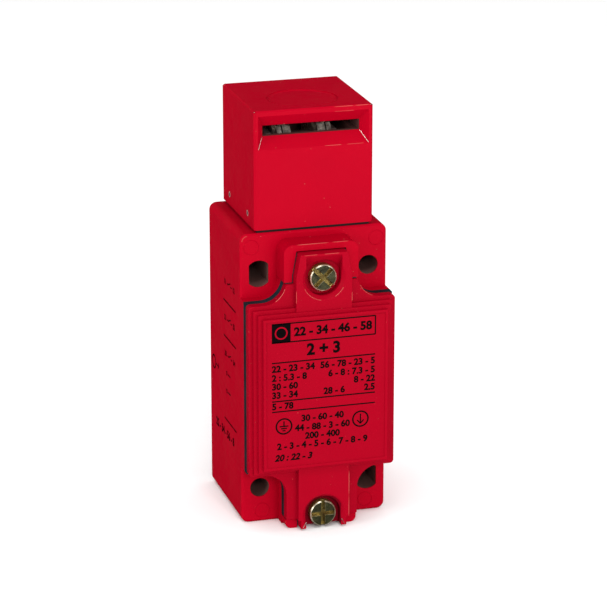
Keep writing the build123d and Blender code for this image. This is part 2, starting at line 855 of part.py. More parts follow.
def terminal_clamp(height):
    """Forked pressure plate under the head of a right-hand terminal screw."""
    z = height + terminal_rise
    low = pocket_floor + strip_thickness
    fork = terminal_screw_radius + cover_gap / 2
    half_width = (strip_outer_x - terminal_inner_x) / 2 - pocket_gap
    plate = Rectangle(2 * half_width, 2 * terminal_head_radius)
    plate -= span(-fork, fork, -fork, 2 * terminal_head_radius)
    return pad(Pos(terminal_x, z) * plate, low, low + clamp_thickness)


def terminal_screw(height):
    """Right-hand terminal screw."""
    seat = pocket_floor + strip_thickness + clamp_thickness
    z = height + terminal_rise
    sizes = (terminal_screw_radius, terminal_head_radius, terminal_head_height)
    return slotted_screw(terminal_x, z, seat, strip_back + screw_end_gap, *sizes)


def block_screws():
    """Two screws through the feet of the contact block."""
    sizes = (block_screw_radius, block_screw_head_radius, block_screw_head_height)
    tip = blind_floor + cover_gap
    places = (-block_screw_x, block_screw_x)
    return group([slotted_screw(x, block_screw_z, foot_front, tip, *sizes) for x in places])


def earth_screw():
    """Screw of the protective earth terminal."""
    seat = earth_boss_front + earth_washer_thickness
    sizes = (block_screw_radius, earth_head_radius, earth_head_height)
    return slotted_screw(0, earth_z, seat, blind_floor + cover_gap, *sizes)


def earth_washer():
    """Square clamping washer on the earth boss."""
    washer = Rectangle(2 * earth_washer_half, 2 * earth_washer_half)
    washer -= small_disc(block_screw_radius + cover_gap)
    return pad(Pos(0, earth_z) * washer, earth_boss_front, earth_boss_front + earth_washer_thickness)


def both_sides(make):
    """One piece for each row and side of the contact block."""
    return group([side for height in row_heights for side in mirrored(make(height))])


parts = {
    "body_casting": body_casting(),
    "cover_gasket": cover_gasket(),
    "front_cover": front_cover(),
    "cover_screws": group([cover_screw(upper_screw_z, 45), cover_screw(lower_screw_z, 0)]),
    "head_casting": head_casting(),
    "head_gasket": head_gasket(),
    "head_pins": head_pins(),
    "cam_carrier": cam_carrier(),
    "cam_axle": cam_axle(),
    "lift_cam": lift_cam(),
    "cam_wheels": group(mirrored(cam_wheel())),
    "plunger": plunger(),
    "plunger_bush": plunger_bush(),
    "plunger_seal": plunger_seal(),
    "plunger_spring": coil_spring(spring_radius, spring_wire, seal_high, collar_bottom, spring_turns),
    "contact_block": contact_block(),
    "contact_lid": contact_lid(),
    "contact_carriage": contact_carriage(),
    "contact_bridges": group([contact_bridge(height) for height in row_heights]),
    "contact_springs": group([contact_spring(height) for height in row_heights]),
    "fixed_contacts": both_sides(fixed_contact),
    "terminal_clamps": both_sides(terminal_clamp),
    "terminal_screws": both_sides(terminal_screw),
    "return_spring": coil_spring(
        return_spring_radius, return_spring_wire, well_bottom, carriage_bottom, return_spring_turns
    ),
    "block_screws": block_screws(),
    "earth_screw": earth_screw(),
    "earth_washer": earth_washer(),
}

os.makedirs("parts", exist_ok=True)
for name, shape in parts.items():
    export_step(shape, f"parts/{name}.step")
print("width", round(body_width, 2), "depth", round(body_depth, 2), "holes", 2 * hole_x, 2 * hole_z)
print("cam axis", round(cam_axis_z, 3), "head top", round(head_top, 3), "front", round(panel_front, 3))
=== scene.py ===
import math

import bmesh
import bpy
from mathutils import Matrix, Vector


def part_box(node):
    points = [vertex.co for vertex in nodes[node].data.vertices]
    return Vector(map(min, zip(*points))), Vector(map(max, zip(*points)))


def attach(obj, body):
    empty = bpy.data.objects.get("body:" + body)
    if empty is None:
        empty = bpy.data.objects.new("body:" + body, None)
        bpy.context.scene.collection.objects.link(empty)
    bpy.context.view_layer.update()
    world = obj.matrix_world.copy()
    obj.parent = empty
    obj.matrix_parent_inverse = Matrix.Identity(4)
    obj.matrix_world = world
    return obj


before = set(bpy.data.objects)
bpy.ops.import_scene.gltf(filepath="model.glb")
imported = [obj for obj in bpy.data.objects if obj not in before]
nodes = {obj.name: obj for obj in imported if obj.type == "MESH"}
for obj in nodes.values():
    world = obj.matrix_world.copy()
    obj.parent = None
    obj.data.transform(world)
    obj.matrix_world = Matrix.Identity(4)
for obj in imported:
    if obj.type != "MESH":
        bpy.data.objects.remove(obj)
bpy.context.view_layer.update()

MM = 0.001

# The camera, at the photograph's viewpoint. Its lens and turn were fitted to the corners of the switch.
CAMERA_PLACE = (-0.2027, -0.7221, 0.2558)
CAMERA_AZIMUTH = -16.16
CAMERA_ELEVATION = 18.12
CAMERA_LENS = 169.9
CAMERA_SENSOR = 36.0
CAMERA_NEAR = 0.01

# Places read from the frame
head_low, head_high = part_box("head_casting")
body_low, body_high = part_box("body_casting")
cover_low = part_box("front_cover")[0]
front_y = cover_low[1]
ear_y = head_low[1]
side_x = body_low[0]
axis_y = (head_low[1] + head_high[1]) / 2
floor_z = body_low[2]
screw_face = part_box("cover_screws")[0][1]

# Sizes and places of the print
INK_LIFT = 0.02 * MM
INK_THICKNESS = 0.01 * MM
RULE_WIDTH = 0.34 * MM
LABEL_RECESS = 0.3 * MM
LABEL_LEFT = -14.7 * MM
LABEL_RIGHT = 13.5 * MM
LABEL_RULES = (8.96 * MM, -1.7 * MM, -4.6 * MM)
HEADER_LOW = 14.5 * MM
HEADER_HIGH = 19.6 * MM
TEXT_SIZE = 2.45 * MM
HEADER_TEXT_SIZE = 3.2 * MM
BIG_TEXT_SIZE = 4.3 * MM

# Print on the side, as distances in front of the back face and heights
DIAGRAM_BACK = 14.6 * MM
DIAGRAM_FRONT = 27.2 * MM
DIAGRAM_RULES = (18.2 * MM, 8.1 * MM, -15.6 * MM)
DIAGRAM_RULE_WIDTH = 0.4 * MM
CONTACT_ROWS = ((23.6 * MM, "11", "12"), (13.4 * MM, "21", "22"), (3.2 * MM, "33", "34"))
RING_ROWS = (-2.1 * MM, -7.2 * MM)
SYMBOL_WIDTH = 0.35 * MM
SYMBOL_TEXT_SIZE = 2.0 * MM
SIDE_TEXT_SIZE = 3.1 * MM

# Fixing holes, whose walls show bare metal painted dark brown as shade, from a little behind the ears' front
# to the back face
HOLE_X = 15.0 * MM
HOLE_Z = 30.0 * MM
HOLE_REACH = 3.72 * MM
HOLE_RIM = 0.35 * MM
HOLE_END = -0.02 * MM

# Inside of the head, within its walls and behind its funnel, where bare metal is painted dark brown as shade
HEAD_SIDE_WALL = 1.6 * MM
HEAD_BACK_WALL = 1.0 * MM
HEAD_ROOF = 1.5 * MM
HEAD_SKIRT = 0.2 * MM
FUNNEL_DEPTH = 2.75 * MM

# Hollow cross pins of the head, whose bores are painted as a dark disc of shade
PIN_OFFSET = 9.2 * MM
PIN_HEIGHT = 44.8 * MM
PIN_BORE = 0.48 * MM

# Recess of the lower cover screw, painted darker as shade, with its depths behind the cover's front
RECESS_HALF = 4.95 * MM
RECESS_TOP = -30.6 * MM
RECESS_START = 2.15 * MM
RECESS_END = 5.0 * MM

# Painted highlight on the rim of the cover screws and the top of their slots, as depths behind their faces
HIGHLIGHT_RIM_START = 0.03 * MM
HIGHLIGHT_RIM_END = 0.3 * MM

# Turned groove of each wheel, painted dark as shade, as distances from the middle of the head
GROOVE_START = 5.75 * MM
GROOVE_END = 6.15 * MM

# Rounding that enamel and plating leave on edges
ROUNDED = (
    ("body_casting", 0.18 * MM),
    ("front_cover", 0.2 * MM),
    ("head_casting", 0.15 * MM),
    ("cover_screws", 0.14 * MM),
)
ROUND_ANGLE = 35.0
FLAT_ANGLE = 0.3
WELD_REACH = 0.002 * MM

# Heights of the fine texture on enamel and on everything else
PEEL_HEIGHT = 0.04 * MM
GRAIN_HEIGHT = 0.03 * MM

# Colours of the enamel and of its pale specks and chips, and the darker colours painted as shade: on bare
# metal in the holes and the slot, in the lower screw's recess and in the hollows of metal parts
RED = (0.35, 0.0002, 0.010)
RED_SHADE = (0.325, 0.0002, 0.0095)
COVER_RED = (0.29, 0.0004, 0.0095)
COVER_SHADE = (0.27, 0.0004, 0.009)
SPECK = (0.5, 0.12, 0.1)
RECESS_SHADE_RED = (0.14, 0.0005, 0.006)
HOLE_SHADE_BROWN = (0.12, 0.058, 0.05)
SLOT_SHADE_BROWN = (0.10, 0.042, 0.038)
HOLLOW_SHADE_DARK = (0.02, 0.015, 0.013)

# Right-hand paths of the gasket's lip round the upper tab and the foot, as x and z in millimetres
LIP_PATHS = (
    ((9.7, 29.05), (7.75, 29.05), (7.75, 31.0), (6.59, 37.0)),
    ((9.6, -37.05), (6.45, -37.05), (6.45, -39.1)),
)
LIP_WIDTH = 0.22 * MM
LIP_FRONT = -39.05 * MM
LIP_BACK = -35.3 * MM

# Edges with bright metal slivers, part worn to the metal and part painted highlight, and edges with painted
# pale highlights, from point to point in millimetres
BARE_AND_HIGHLIGHT_LINES = (
    ((-13.2, -29.6, 66.3), (-14.9, -32.1, 63.4)),
    ((13.2, -29.6, 66.3), (14.9, -32.1, 63.4)),
    ((-16.06, -31.85, 73.4), (-15.8, -32.1, 73.55)),
    ((15.3, -32.1, 73.55), (16.0, -31.95, 73.5)),
    ((-4.9, -42.15, -37.3), (-5.9, -42.15, -39.1)),
    ((4.9, -42.15, -37.3), (5.9, -42.15, -39.1)),
)
# Pale pink lines painted as highlights along lit edges
PAINTED_HIGHLIGHT_LINES = (
    ((-6.6, -39.18, 39.2), (2.0, -39.18, 39.2)),
    ((3.0, -39.18, 39.2), (7.4, -39.18, 39.2)),
    ((-5.9, -42.15, 37.1), (-1.5, -42.15, 37.1)),
    ((-0.5, -42.15, 37.1), (4.5, -42.15, 37.1)),
    ((5.5, -32.0, 73.5), (10.8, -32.0, 73.5)),
    ((11.2, -32.0, 73.5), (15.2, -32.0, 73.5)),
    ((2.5, -32.14, 63.3), (8.0, -32.14, 63.3)),
    ((8.6, -32.14, 63.3), (14.0, -32.14, 63.3)),
    ((5.0, -32.14, 72.3), (11.5, -32.14, 72.3)),
    ((-7.55, -42.15, 24.2), (-7.55, -42.15, 27.6)),
    ((7.55, -42.15, 23.6), (7.55, -42.15, 26.2)),
    ((6.95, -42.17, -24.0), (6.95, -42.17, -30.8)),
    ((6.95, -42.17, -30.9), (6.95, -42.17, -36.8)),
)

# Arcs of painted pale highlight: centre x, depth, centre z and radius in millimetres, then the first and last
# angle
PAINTED_HIGHLIGHT_ARCS = (
    (0.0, -42.17, 30.4, 5.85, 203, 262),
    (0.0, -42.17, 30.4, 5.85, 300, 332),
    (-18.0, -32.17, 39.0, 1.5, 95, 175),
    (-15.8, -40.17, 29.7, 6.0, -58, -18),
    (15.8, -40.17, 29.7, 6.0, 205, 250),
)

# Lamps: name, place, height on the switch's axis that the lamp looks at, size and power
LAMPS = (
    ("key", (0.10, -1.05, 0.36), 0.02, (0.22, 0.22), 3.6),
    ("slot", (-0.16, -0.62, 0.29), 0.065, (0.04, 0.04), 0.45),
    ("rim", (0.75, -0.25, 0.5), 0.02, (0.12, 0.3), 0.5),
    ("left", (-0.85, -0.35, 0.25), 0.02, (0.3, 0.3), 2.5),
    ("card", (0.25, -0.95, -0.02), 0.02, (0.4, 0.2), 1.2),
    ("low", (0.12, -0.5, -0.034), 0.06, (0.25, 0.01), 0.15),
    ("sheen", (-0.1, -0.5, 0.75), 0.02, (0.4, 0.1), 1.8),
)
FLOOR_HALF = 6.0
FLOOR_GAP = 0.05 * MM


class Shader:
    """Small helper that builds a node tree by name."""

    def __init__(self, name):
        self.material = bpy.data.materials.new(name)
        self.material.use_nodes = True
        self.tree = self.material.node_tree
        self.surface = self.tree.nodes["Principled BSDF"]
        self.place = self.tree.nodes.new("ShaderNodeTexCoord").outputs["Object"]

    def link(self, source, target):
        self.tree.links.new(source, target)

    def noise(self, scale, detail=2.0, roughness=0.5):
        node = self.tree.nodes.new("ShaderNodeTexNoise")
        node.inputs["Scale"].default_value = scale
        node.inputs["Detail"].default_value = detail
        node.inputs["Roughness"].default_value = roughness
        self.link(self.place, node.inputs["Vector"])
        return node.outputs["Fac"]

    def spread(self, value, low, high, out_low=0.0, out_high=1.0):
        node = self.tree.nodes.new("ShaderNodeMapRange")
        node.inputs["From Min"].default_value = low
        node.inputs["From Max"].default_value = high
        node.inputs["To Min"].default_value = out_low
        node.inputs["To Max"].default_value = out_high
        self.link(value, node.inputs["Value"])
        return node.outputs["Result"]

    def math(self, operation, first, second=None):
        node = self.tree.nodes.new("ShaderNodeMath")
        node.operation = operation
        for socket, value in zip(node.inputs, (first, second)):
            if isinstance(value, (int, float)):
                socket.default_value = value
            elif value is not None:
                self.link(value, socket)
        return node.outputs["Value"]

    def blend(self, share, first, second):
        node = self.tree.nodes.new("ShaderNodeMix")
        node.data_type = "RGBA"
        self.link(share, node.inputs["Factor"])
        for socket, value in ((node.inputs[6], first), (node.inputs[7], second)):
            if isinstance(value, tuple):
                socket.default_value = (*value, 1.0)
            else:
                self.link(value, socket)
        return node.outputs[2]

    def axes(self):
        node = self.tree.nodes.new("ShaderNodeSeparateXYZ")
        self.link(self.place, node.inputs[0])
        return node.outputs["X"], node.outputs["Y"], node.outputs["Z"]

    def bump(self, height, strength, distance):
        node = self.tree.nodes.new("ShaderNodeBump")
        node.inputs["Strength"].default_value = strength
        node.inputs["Distance"].default_value = distance
        self.link(height, node.inputs["Height"])
        self.link(node.outputs["Normal"], self.surface.inputs["Normal"])

    def set(self, name, value):
        socket = self.surface.inputs[name]
        if isinstance(value, tuple):
            socket.default_value = (*value, 1.0)
        elif isinstance(value, (int, float)):
            socket.default_value = value
        else:
            self.link(value, socket)


def between(shader, value, low, high):
    """Mask that is 1 where a coordinate lies between two places."""
    above = shader.math("GREATER_THAN", value, low)
    below = shader.math("LESS_THAN", value, high)
    return shader.math("MULTIPLY", above, below)


def length(shader, across, up):
    """Length of the line to a spot that lies a little across and up."""
    squares = [shader.math("POWER", side, 2.0) for side in (across, up)]
    return shader.math("SQRT", shader.math("ADD", *squares))


def enamel(name, red, shade, shaded_places=None, shaded_colour=None):
    """Stoved enamel with faint mottling and orange peel. The optional mask marks places painted in a darker
    colour as shade, with a rougher finish.
    """
    shader = Shader(name)
    cloud = shader.spread(shader.noise(45.0, 4.0), 0.3, 0.7)
    colour = shader.blend(cloud, shade, red)
    specks = shader.spread(shader.noise(1900.0, 1.0), 0.79, 0.82)
    colour = shader.blend(specks, colour, SPECK)
    gloss = shader.spread(shader.noise(220.0, 3.0), 0.3, 0.7, 0.3, 0.44)
    if shaded_places is not None:
        mask = shaded_places(shader)
        colour = shader.blend(mask, colour, shaded_colour)
        gloss = shader.math("MAXIMUM", gloss, shader.math("MULTIPLY", mask, 0.6))
    shader.set("Base Color", colour)
    shader.set("Roughness", gloss)
    shader.set("Specular IOR Level", 0.02)
    fine = shader.noise(900.0, 2.0)
    coarse = shader.math("MULTIPLY", shader.noise(240.0, 1.0), 2.0)
    shader.bump(shader.math("ADD", fine, coarse), 0.12, PEEL_HEIGHT)
    return shader.material


def bare_and_shade_in_holes(shader):
    """Mask of the four fixing holes of the body, whose bare metal is painted dark brown as shade."""
    x, y, z = shader.axes()
    across = shader.math("SUBTRACT", shader.math("ABSOLUTE", x), HOLE_X)
    up = shader.math("SUBTRACT", shader.math("ABSOLUTE", z), HOLE_Z)
    near = shader.math("LESS_THAN", length(shader, across, up), HOLE_REACH)
    deep = between(shader, y, ear_y + HOLE_RIM, HOLE_END)
    return shader.math("MULTIPLY", near, deep)


def shade_in_recess(shader):
    """Mask of the recess of the lower cover screw, painted darker as shade."""
    x, y, z = shader.axes()
    wide = shader.math("LESS_THAN", shader.math("ABSOLUTE", x), RECESS_HALF)
    deep = between(shader, y, front_y + RECESS_START, front_y + RECESS_END)
    low = shader.math("LESS_THAN", z, RECESS_TOP)
    return shader.math("MULTIPLY", shader.math("MULTIPLY", wide, deep), low)


def bare_and_shade_in_slot(shader):
    """Mask of the head's inside, behind the funnel, whose bare metal is painted dark brown as shade."""
    x, y, z = shader.axes()
    wide = shader.math("LESS_THAN", shader.math("ABSOLUTE", x), head_high[0] - HEAD_SIDE_WALL)
    deep = between(shader, y, ear_y + FUNNEL_DEPTH, head_high[1] - HEAD_BACK_WALL)
    tall = between(shader, z, head_low[2] + HEAD_SKIRT, head_high[2] - HEAD_ROOF)
    return shader.math("MULTIPLY", shader.math("MULTIPLY", wide, deep), tall)


def metal(name, colour, dark, roughness, scale, hollow_shade=None, metallic=1.0):
    """Worn or plated metal with fine scratches; on the wheels its bright blotches are painted glints. The
    optional mask marks a groove or bore that is painted dark as shade.
    """
    shader = Shader(name)
    share = shader.spread(shader.noise(scale, 4.0, 0.7), 0.35, 0.7)
    base = shader.blend(share, dark, colour)
    if hollow_shade is not None:
        # Groove or bore painted dark as shade
        base = shader.blend(hollow_shade(shader), base, HOLLOW_SHADE_DARK)
    shader.set("Base Color", base)
    shader.set("Metallic", metallic)
    shader.set("Roughness", shader.spread(shader.noise(scale * 3, 2.0), 0.3, 0.7, roughness, roughness + 0.2))
    shader.bump(shader.noise(scale * 4, 2.0), 0.15, GRAIN_HEIGHT)
    return shader.material


def zinc_plate(name):
    """Yellow zinc plate, which runs from olive to gold with a rosy bloom."""
    shader = Shader(name)
    share = shader.spread(shader.noise(330.0, 4.0, 0.7), 0.35, 0.65)
    colour = shader.blend(share, (0.20, 0.18, 0.06), (0.58, 0.50, 0.20))
    bloom = shader.spread(shader.noise(520.0, 2.0), 0.62, 0.75)
    colour = shader.blend(bloom, colour, (0.45, 0.24, 0.16))
    shader.set("Base Color", colour)
    shader.set("Metallic", 1.0)
    shader.set("Roughness", shader.spread(shader.noise(900.0, 2.0), 0.3, 0.7, 0.25, 0.45))
    shader.bump(shader.noise(1300.0, 2.0), 0.2, GRAIN_HEIGHT)
    return shader.material


def screw_plate(name):
    """Zinc plate of the cover screws: dark olive face, a painted highlight along the rim and the slots'
    edges, and golden slots.
    """
    shader = Shader(name)
    y = shader.axes()[1]
    share = shader.spread(shader.noise(520.0, 4.0, 0.7), 0.35, 0.65)
    face = shader.blend(share, (0.012, 0.0125, 0.005), (0.062, 0.062, 0.024))
    painted_highlight = shader.blend(share, (0.30, 0.27, 0.15), (0.95, 0.92, 0.72))
    slot = shader.blend(share, (0.13, 0.08, 0.018), (0.40, 0.31, 0.09))
    deep = shader.math("GREATER_THAN", y, screw_face + HIGHLIGHT_RIM_END)
    # Band of painted highlight on the rim and the slots' edges
    rim = between(shader, y, screw_face + HIGHLIGHT_RIM_START, screw_face + HIGHLIGHT_RIM_END)
    shader.set("Base Color", shader.blend(rim, shader.blend(deep, face, slot), painted_highlight))
    shader.set("Metallic", shader.spread(shader.math("MAXIMUM", deep, rim), 0.0, 1.0, 0.55, 0.75))
    shader.set("Roughness", shader.spread(shader.noise(900.0, 2.0), 0.3, 0.7, 0.22, 0.42))
    shader.bump(shader.noise(1300.0, 2.0), 0.2, GRAIN_HEIGHT)
    return shader.material


def wheel_groove_shade(shader):
    """Mask of the turned groove near the outer edge of each wheel, painted dark as shade."""
    x = shader.axes()[0]
    return between(shader, shader.math("ABSOLUTE", x), GROOVE_START, GROOVE_END)


def pin_bore_shade(shader):
    """Mask of the hollow end of each cross pin, painted as a dark disc of shade."""
    y, z = shader.axes()[1:]
    from_axis = shader.math("ABSOLUTE", shader.math("SUBTRACT", y, axis_y))
    across = shader.math("SUBTRACT", from_axis, PIN_OFFSET)
    up = shader.math("SUBTRACT", z, PIN_HEIGHT)
    return shader.math("LESS_THAN", length(shader, across, up), PIN_BORE)


def plastic(name, colour, shade, roughness, specular=0.15):
    """Moulded plastic or rubber with a fine grain."""
    shader = Shader(name)
    share = shader.spread(shader.noise(120.0, 3.0), 0.3, 0.7)
    shader.set("Base Color", shader.blend(share, shade, colour))
    shader.set("Roughness", shader.spread(shader.noise(500.0, 2.0), 0.3, 0.7, roughness, roughness + 0.15))
    shader.set("Specular IOR Level", specular)
    shader.bump(shader.noise(1400.0, 2.0), 0.2, GRAIN_HEIGHT)
    return shader.material


def dress(material, *names):
    """Give CAD pieces one material."""
    for name in names:
        for slot in nodes[name].material_slots:
            slot.material = material


def paint_of(name):
    """The material that a CAD piece wears."""
    return nodes[name].material_slots[0].material


def soften(name, width):
    """Round a piece's sharp edges, as enamel or plating does."""
    piece = nodes[name]
    weld = piece.modifiers.new("weld", "WELD")
    weld.merge_threshold = WELD_REACH
    flat = piece.modifiers.new("flat", "DECIMATE")
    flat.decimate_type = "DISSOLVE"
    flat.angle_limit = math.radians(FLAT_ANGLE)
    round_edges = piece.modifiers.new("round", "BEVEL")
    round_edges.width = width
    round_edges.segments = 3
    round_edges.limit_method = "ANGLE"
    round_edges.angle_limit = math.radians(ROUND_ANGLE)
    round_edges.harden_normals = False
    for polygon in piece.data.polygons:
        polygon.use_smooth = True
    normals = piece.modifiers.new("normals", "WEIGHTED_NORMAL")
    normals.keep_sharp = True


def new_piece(name, mesh, material, body="housing"):
    """Mesh object that rides on a body."""
    piece = bpy.data.objects.new(name, mesh)
    bpy.context.scene.collection.objects.link(piece)
    piece.data.materials.clear()
    piece.data.materials.append(material)
    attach(piece, body)
    return piece


def join_rows(mesh, rows, closed=False):
    """Faces between neighbouring rows of corners, with an end face on each end of an open run."""
    following = rows[1:] + rows[:1] if closed else rows[1:]
    for first, second in zip(rows, following):
        for i in range(len(first)):
            j = (i + 1) % len(first)
            mesh.faces.new((first[i], first[j], second[j], second[i]))
    if not closed:
        mesh.faces.new(rows[0])
        mesh.faces.new(reversed(rows[-1]))


def bead(mesh, place, section, steps):
    """Closed ring with a small section. place turns a spot on the face and a lift into a point."""
    rows = []
    for index in range(steps):
        turn = 2 * math.pi * index / steps
        across, up = math.cos(turn), math.sin(turn)
        rows.append([mesh.verts.new(place(r * across, r * up, lift)) for r, lift in section])
    join_rows(mesh, rows, closed=True)


def piece_from(name, mesh, material):
    """Turn a working mesh into a piece of the housing."""
    bmesh.ops.recalc_face_normals(mesh, faces=mesh.faces)
    data = bpy.data.meshes.new(name)
    mesh.to_mesh(data)
    mesh.free()
    return new_piece(name, data, material)


class Ink:
    """Thin print built up from lines, rings and numbers on one face, in the face's own two directions."""

    def __init__(self, origin, across, up):
        self.mesh = bmesh.new()
        self.origin, self.across, self.up = Vector(origin), Vector(across), Vector(up)
        self.out = self.across.cross(self.up)

    def point(self, a, b, lift):
        return self.origin + self.across * a + self.up * b + self.out * lift

    def slab(self, outline):
        """Flat shape with a little thickness, from its outline."""
        top = [self.mesh.verts.new(self.point(a, b, INK_LIFT)) for a, b in outline]
        low = [self.mesh.verts.new(self.point(a, b, INK_LIFT - INK_THICKNESS)) for a, b in outline]
        self.mesh.faces.new(top)
        self.mesh.faces.new(reversed(low))
        for i in range(len(outline)):
            j = (i + 1) % len(outline)
            self.mesh.faces.new((low[i], low[j], top[j], top[i]))

    def line(self, start, end, width=RULE_WIDTH):
        direction = (Vector(end) - Vector(start)).normalized()
        side = Vector((-direction.y, direction.x)) * width / 2
        a, b = Vector(start), Vector(end)
        self.slab([tuple(p) for p in (a - side, b - side, b + side, a + side)])

    def ring(self, centre, radius, width=RULE_WIDTH, steps=40):
        inner, outer = radius - width / 2, radius + width / 2
        for i in range(steps):
            first, last = 2 * math.pi * i / steps, 2 * math.pi * (i + 1) / steps
            corners = ((inner, first), (outer, first), (outer, last), (inner, last))
            self.slab([(centre[0] + r * math.cos(t), centre[1] + r * math.sin(t)) for r, t in corners])

    def number(self, text, place, size=TEXT_SIZE, align="CENTER", lean=0.0):
        """Plain numbers in Blender's own font, made bold."""
        curve = bpy.data.curves.new("number", "FONT")
        curve.body = text
        curve.size = size
        curve.align_x = align
        curve.align_y = "CENTER"
        curve.offset = size * 0.04
        curve.shear = lean
        curve.extrude = INK_THICKNESS / 2
        curve.resolution_u = 3
        holder = bpy.data.objects.new("number", curve)
        bpy.context.scene.collection.objects.link(holder)
        bpy.context.view_layer.update()
        mesh = bpy.data.meshes.new_from_object(holder)
        for vertex in mesh.vertices:
            a, b, c = vertex.co
            vertex.co = self.point(place[0] + a, place[1] + b, INK_LIFT + c - INK_THICKNESS / 2)
        self.mesh.from_mesh(mesh)
        bpy.data.objects.remove(holder)
        bpy.data.meshes.remove(mesh)

    def finish(self, name, material):
        return piece_from(name, self.mesh, material)


def header_mark(ink):
    """Filled square with a ring left open in it, at the left end of the header frame."""
    side = HEADER_HIGH - HEADER_LOW
    middle = (LABEL_LEFT + side / 2, (HEADER_LOW + HEADER_HIGH) / 2)
    steps = 48
    inner, outer = 1.35 * MM, 1.75 * MM
    for index in range(steps):
        angles = [2 * math.pi * (index + end) / steps for end in (0, 1)]
        reach = [side / 2 / max(abs(math.cos(angle)), abs(math.sin(angle))) for angle in angles]
        shape = [(outer, angles[0]), (reach[0], angles[0]), (reach[1], angles[1]), (outer, angles[1])]
        ink.slab([(middle[0] + r * math.cos(t), middle[1] + r * math.sin(t)) for r, t in shape])
    disc = [2 * math.pi * index / steps for index in range(steps)]
    ink.slab([(middle[0] + inner * math.cos(t), middle[1] + inner * math.sin(t)) for t in disc])


def label_print(material):
    """Header frame, rules, rows of plain numbers and two ringed signs on the cover's panel."""
    ink = Ink((0, front_y + LABEL_RECESS, 0), (1, 0, 0), (0, 0, 1))
    for height in LABEL_RULES:
        ink.line((LABEL_LEFT, height), (LABEL_RIGHT, height))
    for height in (HEADER_LOW, HEADER_HIGH):
        ink.line((LABEL_LEFT, height), (LABEL_RIGHT, height))
    ink.line((LABEL_RIGHT, HEADER_LOW), (LABEL_RIGHT, HEADER_HIGH))
    header_mark(ink)
    ink.number("22 - 34 - 46 - 58", (1.95 * MM, 17.0 * MM), HEADER_TEXT_SIZE)
    ink.number("2 + 3", (-0.6 * MM, 11.8 * MM), BIG_TEXT_SIZE)

    rows = (
        (7.2, "22 - 23 - 34", None, "56 - 78 - 23 - 5"),
        (4.7, "2 : 5.3 - 8", None, "6 - 8 : 7.3 - 5"),
        (2.3, "30 - 60", None, "8 - 22"),
        (-0.1, "33 - 34", "28 - 6", "2.5"),
    )
    for height, left, middle, right in rows:
        ink.number(left, (LABEL_LEFT, height * MM), align="LEFT")
        ink.number(right, (LABEL_RIGHT, height * MM), align="RIGHT")
        if middle:
            ink.number(middle, (2.3 * MM, height * MM))
    ink.number("5 - 78", (LABEL_LEFT, -3.2 * MM), align="LEFT")

    left_mark, right_mark, mark_height = -11.45 * MM, 9.55 * MM, -8.8 * MM
    for place in (left_mark, right_mark):
        ink.ring((place, mark_height), 2.1 * MM, 0.42 * MM)
    ink.line((left_mark, mark_height + 1.4 * MM), (left_mark, mark_height))
    for index, half in enumerate((1.2, 0.8, 0.4)):
        height = mark_height - 0.6 * index * MM
        ink.line((left_mark - half * MM, height), (left_mark + half * MM, height))
    ink.line((right_mark, mark_height + 1.4 * MM), (right_mark, mark_height - 1.2 * MM))
    for side in (-1, 1):
        ink.line((right_mark, mark_height - 1.3 * MM), (right_mark + side * 0.9 * MM, mark_height - 0.3 * MM))
    for height, text in ((-7.1, "30 - 60 - 40"), (-9.7, "44 - 88 - 3 - 60"), (-12.1, "200 - 400")):
        ink.number(text, (-0.9 * MM, height * MM))
    ink.number("2 - 3 - 4 - 5 - 6 - 7 - 8 - 9", (-0.9 * MM, -14.5 * MM))
    ink.number("20 : 22 - 3", (-14.0 * MM, -17.7 * MM), align="LEFT", lean=0.25)
    return ink.finish("label_print", material)


def contact_sign(ink, height, first, second):
    """Open contact between its two terminal numbers."""
    wire_start, blade_start, blade_end, wire_end = 18.4 * MM, 19.9 * MM, 21.9 * MM, 23.3 * MM
    ink.number(first, (16.4 * MM, height), SYMBOL_TEXT_SIZE)
    ink.number(second, (25.2 * MM, height), SYMBOL_TEXT_SIZE)
    ink.line((wire_start, height), (blade_start, height), SYMBOL_WIDTH)
    ink.line((blade_end, height), (wire_end, height), SYMBOL_WIDTH)
    ink.line((blade_start, height + 0.2 * MM), (blade_end, height + 0.9 * MM), SYMBOL_WIDTH)


def arrow_sign(ink):
    """Ring with an arrow that points to the front."""
    height, middle, tail, tip = -3.2 * MM, 3.7 * MM, 5.5 * MM, 8.8 * MM
    ink.ring((middle, height), 1.8 * MM, 0.5 * MM)
    ink.line((tail, height), (tip, height), SYMBOL_WIDTH)
    for rise in (-0.8 * MM, 0.8 * MM):
        ink.line((tip, height), (tip - 0.9 * MM, height + rise), SYMBOL_WIDTH)


def side_print(material):
    """Contact diagram, arrow sign and a row of plain numbers on the left side of the body."""
    ink = Ink((side_x, 0, 0), (0, -1, 0), (0, 0, 1))
    for height in DIAGRAM_RULES:
        ink.line((DIAGRAM_BACK, height), (DIAGRAM_FRONT, height), DIAGRAM_RULE_WIDTH)
    for height, first, second in CONTACT_ROWS:
        contact_sign(ink, height, first, second)
    for height in RING_ROWS:
        ink.line((18.6 * MM, height), (21.2 * MM, height), DIAGRAM_RULE_WIDTH)
        ink.ring((17.4 * MM, height), 0.5 * MM, 0.3 * MM, 16)
    arrow_sign(ink)
    ink.number("22 - 34 - 56 - 8", (15.1 * MM, -19.7 * MM), SIDE_TEXT_SIZE)
    return ink.finish("side_print", material)


